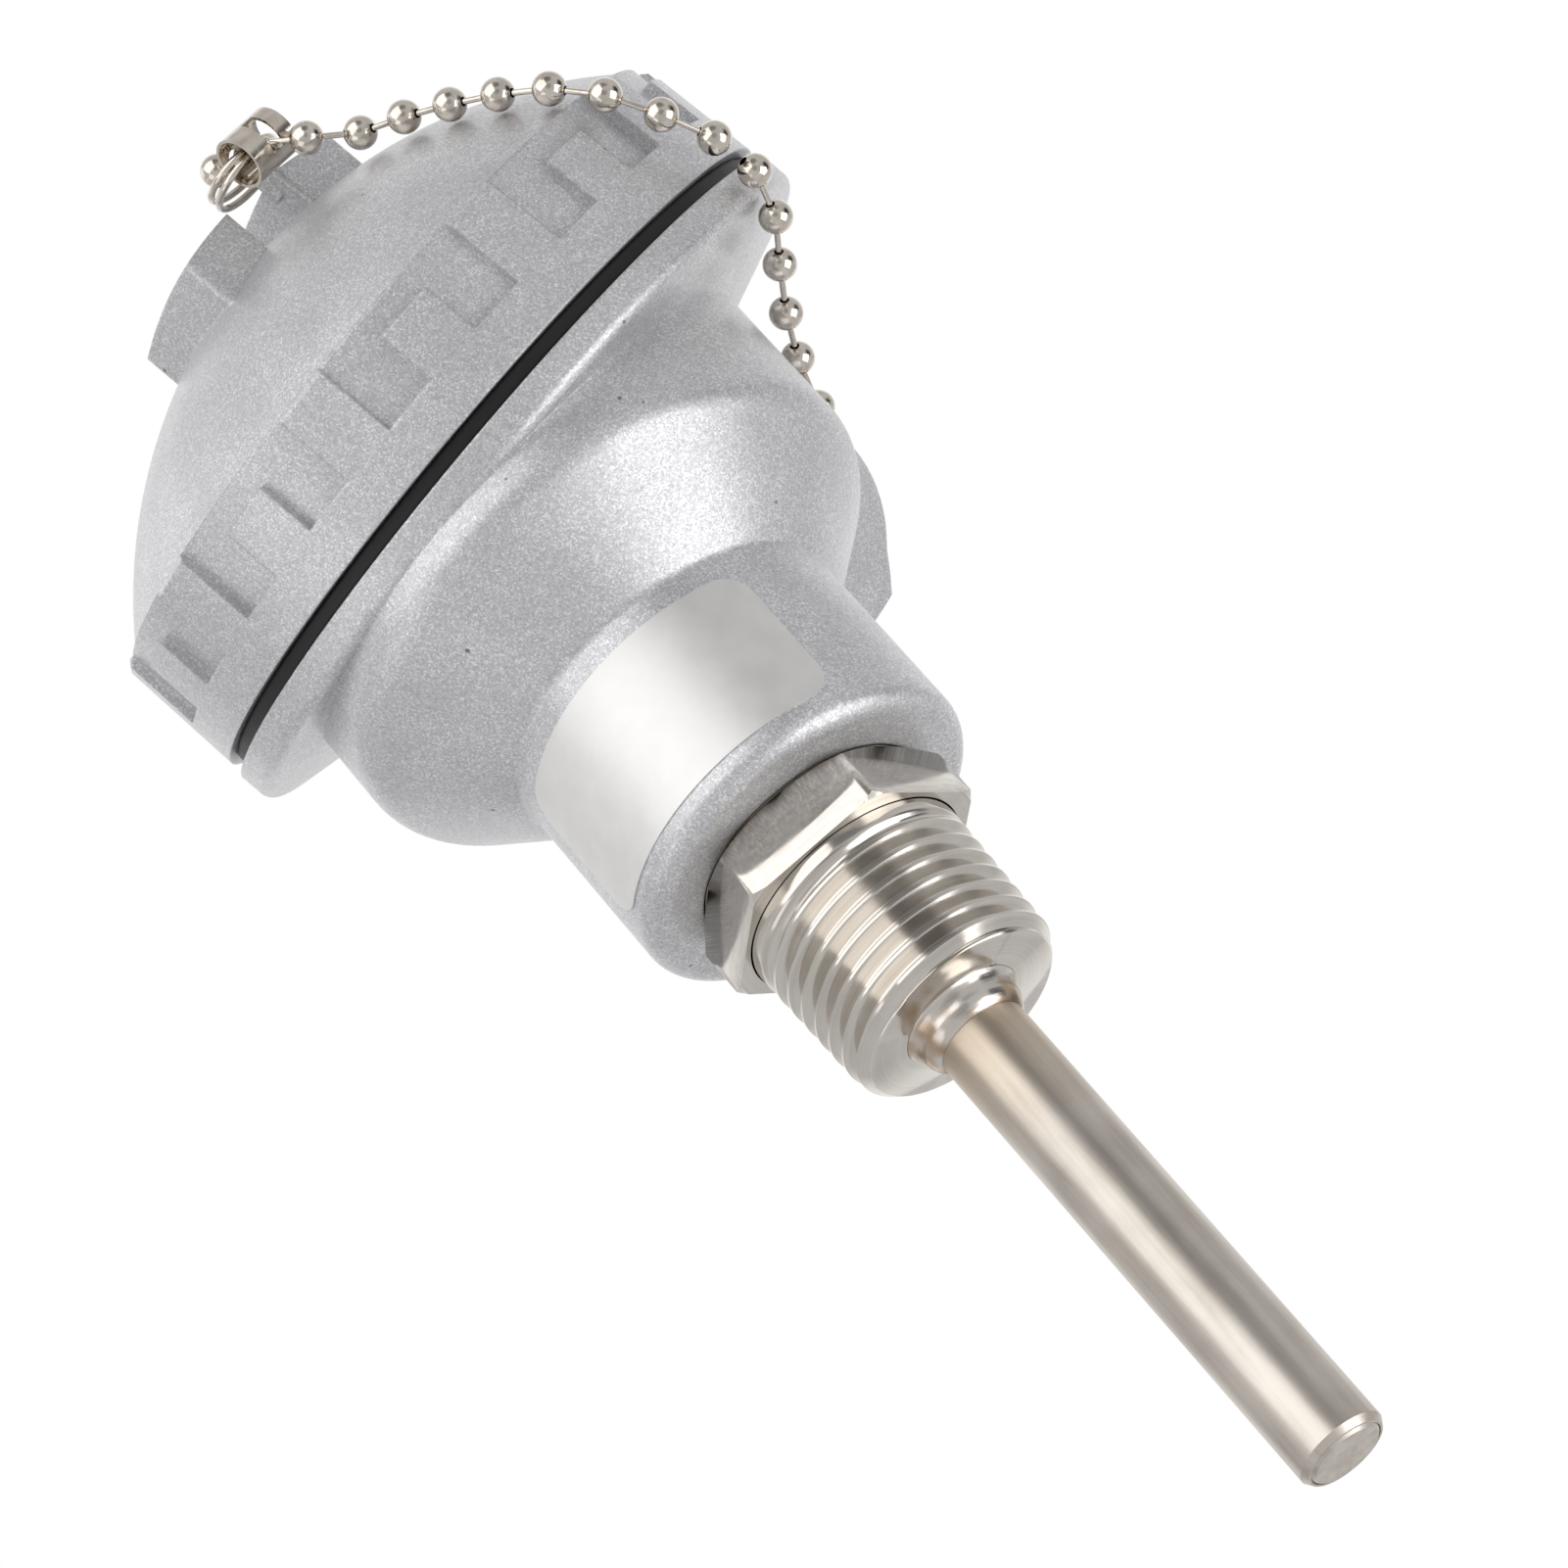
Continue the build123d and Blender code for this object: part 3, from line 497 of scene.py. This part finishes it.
def makeThread(look):
    # the fitting's own mesh without its ringed part, and a helical skin in that part's place
    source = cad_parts["process_fitting"]
    mesh = source.data.copy()
    grid = bmesh.new()
    grid.from_mesh(mesh)
    world = source.matrix_world
    back = world.inverted()
    near = look["nearby"] * mm
    old = []
    for face in grid.faces:
        points = [world @ vertex.co for vertex in face.verts]
        reach = max(math.hypot(point.x, point.y) for point in points)
        top = max(point.z for point in points)
        bottom = min(point.z for point in points)
        ringed = reach > look["keptRadius"] * mm and top < near and bottom < -10 * near
        sided = reach > hexLook["shankRadius"] * mm + near and top < hexLook["height"] * mm + near
        if ringed or sided:
            old.append(face)
    bmesh.ops.delete(grid, geom=old, context="FACES")
    addHexagon(grid, back, hexLook, look["bigRadius"])
    phases = threadPhases(look)
    turns = int(look["reach"] / look["pitch"]) + 2
    levels = [whole + phase for whole in range(turns) for phase in phases]
    rows = []
    for level in levels:
        row = []
        for step in range(look["around"]):
            turn = step / look["around"]
            z = max(-look["reach"], min(0.0, look["pitch"] * (turn - level)))
            point = roundAxis(threadRadius(look, z, turn), 2 * math.pi * turn, z)
            row.append(grid.verts.new(back @ point))
        rows.append(row)
    skin = []
    last = look["around"] - 1
    for number, (upper, lower) in enumerate(zip(rows, rows[1:])):
        for step in range(last):
            skin.append((upper[step], lower[step], lower[step + 1], upper[step + 1]))
        before = number - len(phases)
        if before >= 0:
            skin.append((upper[last], lower[last], rows[before + 1][0], rows[before][0]))
    end = rows[-1]
    bore = []
    for step in range(look["around"]):
        point = roundAxis(look["boreRadius"], 2 * math.pi * step / look["around"], -look["reach"])
        bore.append(grid.verts.new(back @ point))
    for step in range(look["around"]):
        after = (step + 1) % look["around"]
        skin.append((end[step], bore[step], bore[after], end[after]))
    for corners in skin:
        grid.faces.new(corners).smooth = True
    added = [vertex for row in rows for vertex in row] + bore
    bmesh.ops.remove_doubles(grid, verts=added, dist=look["merge"] * mm)
    bmesh.ops.dissolve_degenerate(grid, edges=grid.edges, dist=look["merge"] * mm)
    bmesh.ops.recalc_face_normals(grid, faces=grid.faces)
    grid.to_mesh(mesh)
    grid.free()
    mesh.set_sharp_from_angle(angle=math.radians(look["sharpAngle"]))
    mesh.materials.clear()
    mesh.materials.append(turnedSteel)
    mesh.materials.append(milledSteel)
    obj = bpy.data.objects.new("threadedFitting", mesh)
    obj.matrix_world = world
    bpy.context.scene.collection.objects.link(obj)
    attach(obj, "head")
    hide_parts("process_fitting")
    return obj


threadedFitting = makeThread(threadLook)
print("thread done")


# Weld between the fitting and the tube, run round once by hand
weldLook = {
    "profile": [(5.5, 0.0), (5.2, 0.3), (4.98, 0.7), (4.85, 1.15),      # radius and depth in mm
                (4.76, 1.68), (4.6, 2.1), (4.35, 2.5), (4.03, 2.8)],
    "around": 120,
    "ripple": 0.05,         # mm, how uneven the bead is
    "rippleLength": 1.6,    # mm
    "rowsBetween": 3,
    "calmRows": 4,          # rows over which the ripple dies out towards the tube
    "depthShare": 0.6,      # how fast the ripple changes down the bead
    "boreRadius": 3.9,
}


def makeWeldBead(look):
    # a ring of rows down the profile, closed behind along the tube
    profile = look["profile"]
    fine = []
    for (radius, depth), (radiusAfter, depthAfter) in zip(profile, profile[1:]):
        for part in range(look["rowsBetween"]):
            share = part / look["rowsBetween"]
            fine.append((radius + (radiusAfter - radius) * share, depth + (depthAfter - depth) * share))
    fine.append(profile[-1])
    top = -threadLook["reach"]
    shape = bmesh.new()
    rows = []
    angles = [2 * math.pi * step / look["around"] for step in range(look["around"])]
    for number, (radius, depth) in enumerate(fine):
        row = []
        held = min(1.0, (len(fine) - 1 - number) / look["calmRows"])
        for angle in angles:
            seed = Vector((radius * math.cos(angle), radius * math.sin(angle), depth * look["depthShare"]))
            grown = radius + look["ripple"] * held * noise.noise(seed / look["rippleLength"])
            row.append(shape.verts.new(roundAxis(grown, angle, top - depth)))
        rows.append(row)
    for upper, lower in zip(rows, rows[1:]):
        for step in range(look["around"]):
            after = (step + 1) % look["around"]
            shape.faces.new((upper[step], lower[step], lower[after], upper[after])).smooth = True
    inner = [[shape.verts.new(roundAxis(look["boreRadius"], angle, top - depth)) for angle in angles]
             for depth in (profile[-1][1], profile[0][1])]
    for first, second in ((rows[-1], inner[0]), (inner[0], inner[1]), (inner[1], rows[0])):
        for step in range(look["around"]):
            after = (step + 1) % look["around"]
            shape.faces.new((first[step], second[step], second[after], first[after]))
    bmesh.ops.recalc_face_normals(shape, faces=shape.faces)
    mesh = bpy.data.meshes.new("weldBead")
    shape.to_mesh(mesh)
    shape.free()
    obj = bpy.data.objects.new("weldBead", mesh)
    bpy.context.scene.collection.objects.link(obj)
    mesh.materials.append(weldSteel)
    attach(obj, "head")
    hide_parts("weld_collar")
    return obj


weldBead = makeWeldBead(weldLook)
print("weld done")


# Camera at the photograph's place, as fitted to the object's own edges
cameraSet = {
    "place": (-404.7, -135.3, -224.5),      # mm
    "look": (0.8303, 0.2744, 0.4850),
    "up": (-0.1391, -0.7407, 0.6573),
    "lens": 134.92,
    "sensor": 36,
    "farthest": 10,                         # m
}
look = Vector(cameraSet["look"]).normalized()
up = Vector(cameraSet["up"])
up = (up - look * up.dot(look)).normalized()
right = look.cross(up)
cameraData = bpy.data.cameras.new("photoCamera")
cameraData.lens = cameraSet["lens"]
cameraData.sensor_width = cameraSet["sensor"]
cameraData.clip_end = cameraSet["farthest"]
camera = bpy.data.objects.new("photoCamera", cameraData)
bpy.context.scene.collection.objects.link(camera)
turn = Matrix((right, up, -look)).transposed().to_4x4()
camera.matrix_world = Matrix.Translation(Vector(cameraSet["place"]) * mm) @ turn
bpy.context.scene.camera = camera


# Lights, placed by the directions of the picture: right, up and towards the viewer
def addLight(name, place, size, power, aim=(0, 0, 25)):
    # place and size in m, power in W, aim in mm
    data = bpy.data.lights.new(name, "AREA")
    data.shape = "RECTANGLE"
    data.size = size[0]
    data.size_y = size[1]
    data.energy = power
    light = bpy.data.objects.new(name, data)
    bpy.context.scene.collection.objects.link(light)
    centre = Vector(aim) * mm
    spot = centre + right * place[0] + up * place[1] - look * place[2]
    facing = (centre - spot).normalized()
    light.matrix_world = Matrix.Translation(spot) @ facing.to_track_quat("-Z", "Y").to_matrix().to_4x4()
    light.visible_camera = False


addLight("softboxLeft", (-0.60, 0.285, 0.345), (0.9, 0.9), 2.7)
addLight("softboxRight", (0.63, 0.03, 0.40), (0.6, 0.6), 2.2)
addLight("rimLeft", (-0.671, 0.0, -0.335), (0.42, 0.42), 0.3)
addLight("fillBelowLeft", (-0.457, -0.457, 0.381), (0.42, 0.42), 0.35)

# The studio is a soft white tent with darker gaps between its lamps, and a white backdrop behind the
# object. Directions are right, up and towards the viewer, as for the lamps
studio = {
    "strength": 0.63,
    "tent": (0.97, 0.97, 0.975, 1),
    "gaps": [
        ((-0.17, 0.87, 0.46), 0.90, 0.985, 0.6),     # direction, cosines of its edge and middle, depth
        ((0.88, 0.47, 0.12), 0.91, 0.99, 0.9),
        ((-0.05, 0.20, 0.97), 0.92, 0.99, 0.4),
    ],
    "backdropEdge": 0.50,
    "backdropMiddle": 0.85,
}


def facing(tree, way, low, high, top):
    # how far a ray points along a direction, from 0 at one cosine to top at another
    axis = (right * way[0] + up * way[1] - look * way[2]).normalized()
    ray = addNode(tree, "ShaderNodeTexCoord").outputs["Generated"]
    along = addNode(tree, "ShaderNodeVectorMath", {"operation": "DOT_PRODUCT"}, {1: axis}, {0: ray})
    return addNode(tree, "ShaderNodeMapRange", {"interpolation_type": "SMOOTHSTEP"},
                   {"From Min": low, "From Max": high, "To Min": 0.0, "To Max": top},
                   {"Value": along.outputs["Value"]}).outputs["Result"]


world = bpy.data.worlds.new("studio")
bpy.context.scene.world = world
world.use_nodes = True
tree = world.node_tree
tree.nodes.clear()
level = None
for way, edge, middle, depth in studio["gaps"]:
    left = addNode(tree, "ShaderNodeMath", {"operation": "SUBTRACT"}, {0: 1.0},
                   {1: facing(tree, way, edge, middle, depth)}).outputs[0]
    level = left if level is None else addNode(tree, "ShaderNodeMath", {"operation": "MULTIPLY"}, None,
                                               {0: level, 1: left}).outputs[0]
level = addNode(tree, "ShaderNodeMath", {"operation": "MULTIPLY"}, {1: studio["strength"]}, {0: level})
rays = addNode(tree, "ShaderNodeLightPath")
behind = facing(tree, (0, 0, -1), studio["backdropEdge"], studio["backdropMiddle"], 1.0)
mirrored = addNode(tree, "ShaderNodeMath", {"operation": "MULTIPLY"}, None,
                   {0: rays.outputs["Is Glossy Ray"], 1: behind})
direct = addNode(tree, "ShaderNodeMath", {"operation": "MAXIMUM"}, None,
                 {0: rays.outputs["Is Camera Ray"], 1: rays.outputs["Is Transmission Ray"]})
seen = addNode(tree, "ShaderNodeMath", {"operation": "MAXIMUM"}, None,
               {0: direct.outputs[0], 1: mirrored.outputs[0]})
white = addNode(tree, "ShaderNodeBackground", None, {"Color": (1, 1, 1, 1), "Strength": 1.0})
soft = addNode(tree, "ShaderNodeBackground", None, {"Color": studio["tent"]}, {"Strength": level.outputs[0]})
mixed = addNode(tree, "ShaderNodeMixShader", None, None,
                {0: seen.outputs[0], 1: soft.outputs[0], 2: white.outputs[0]})
addNode(tree, "ShaderNodeOutputWorld", links={"Surface": mixed.outputs[0]})

bpy.context.scene.view_settings.view_transform = "Standard"
print("camera and lights done")

# Floor: pale card far under the object, so that it never stands before a lamp
floorLook = {
    "half": 0.6,            # m
    "drop": 1.0,            # m
    "cells": 8,
    "grain": 2.5,           # mm
    "dark": "#F4F4F4",
    "bright": "#F8F8F8",
    "roughness": 0.8,
}
floorMesh = bpy.data.meshes.new("floor")
shape = bmesh.new()
bmesh.ops.create_grid(shape, x_segments=floorLook["cells"], y_segments=floorLook["cells"],
                      size=floorLook["half"])
shape.to_mesh(floorMesh)
shape.free()
floor = bpy.data.objects.new("floor", floorMesh)
floor.location = (0, 0, -floorLook["drop"])
bpy.context.scene.collection.objects.link(floor)
floorMaterial, tree, shader, place = newMaterial("paleCard")
colourShader(tree, shader, noiseOf(tree, place, floorLook["grain"], 3.0),
             [(0.3, floorLook["dark"]), (0.7, floorLook["bright"])])
setShader(shader, {"Roughness": floorLook["roughness"]})
floor.data.materials.append(floorMaterial)
print("floor done")
